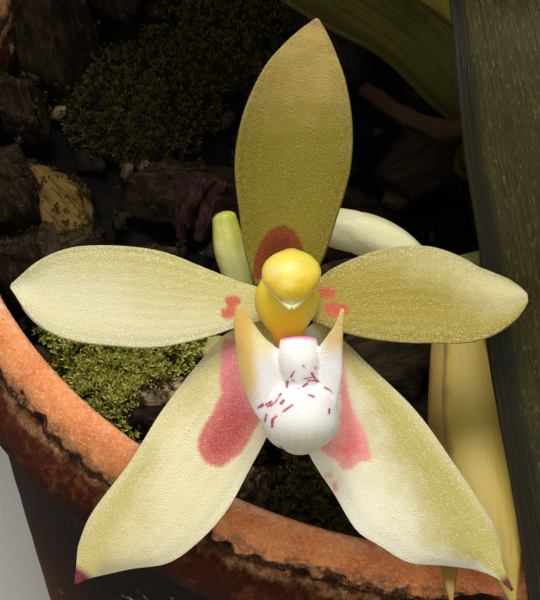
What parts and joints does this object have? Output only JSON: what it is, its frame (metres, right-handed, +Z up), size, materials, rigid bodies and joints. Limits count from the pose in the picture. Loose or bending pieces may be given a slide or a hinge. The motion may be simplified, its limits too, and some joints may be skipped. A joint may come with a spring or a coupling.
{
  "type": "potted brachypeza orchid",
  "caption": "Small epiphytic orchid with strap leaves and a short spike of an open, a fading and a spent flower, in a clay pot of bark and moss.",
  "frame": {"origin": "centre of the pot's foot, on the surface that the pot stands on", "axes": "+Z up; -Y towards whoever looks into the open flower; +X to the right in the picture"},
  "size_m": [0.138, 0.1988, 0.1498],
  "materials": {
    "terracotta": "unglazed, porous and worn",
    "bark": "rough, broken",
    "moss": "soft, matte",
    "root": "matte, spongy skin",
    "leaf": "leathery, half matte",
    "dried_tissue": "dry, papery",
    "flower_stalk": "smooth, half matte",
    "ovary": "smooth, waxy",
    "tepal_cream": "crystalline, translucent",
    "tepal_olive": "crystalline, translucent",
    "column_yellow": "smooth, waxy",
    "cap_yellow": "smooth, waxy",
    "lip_white": "crystalline, waxy",
    "fading_tissue": "limp, half dry",
    "withered_tissue": "dry, shrivelled"
  },
  "bodies": {
    "root": {"pot": "terracotta", "potting_bark": "bark", "moss_left": "moss", "moss_front": "moss", "moss_back": "moss", "stem_and_roots": "root", "leaf_right": "leaf", "leaf_upper": "leaf", "leaf_low_right": "leaf", "leaf_left_back": "leaf", "leaf_young": "leaf", "old_sheath_front": "dried_tissue", "old_sheath_low": "dried_tissue", "old_flower_stalk": "dried_tissue", "flower_spike": "flower_stalk", "main_ovary": "ovary", "fading_ovary": "ovary", "spent_ovary": "ovary", "dorsal_sepal": "tepal_olive", "petal_left": "tepal_cream", "petal_right": "tepal_olive", "lateral_sepal_left": "tepal_cream", "lateral_sepal_right": "tepal_cream", "column": "column_yellow", "anther_cap": "cap_yellow", "lip": "lip_white", "fading_tepals": "fading_tissue", "fading_column_and_lip": "fading_tissue", "withered_perianth": "withered_tissue"}
  },
  "joints": []
}
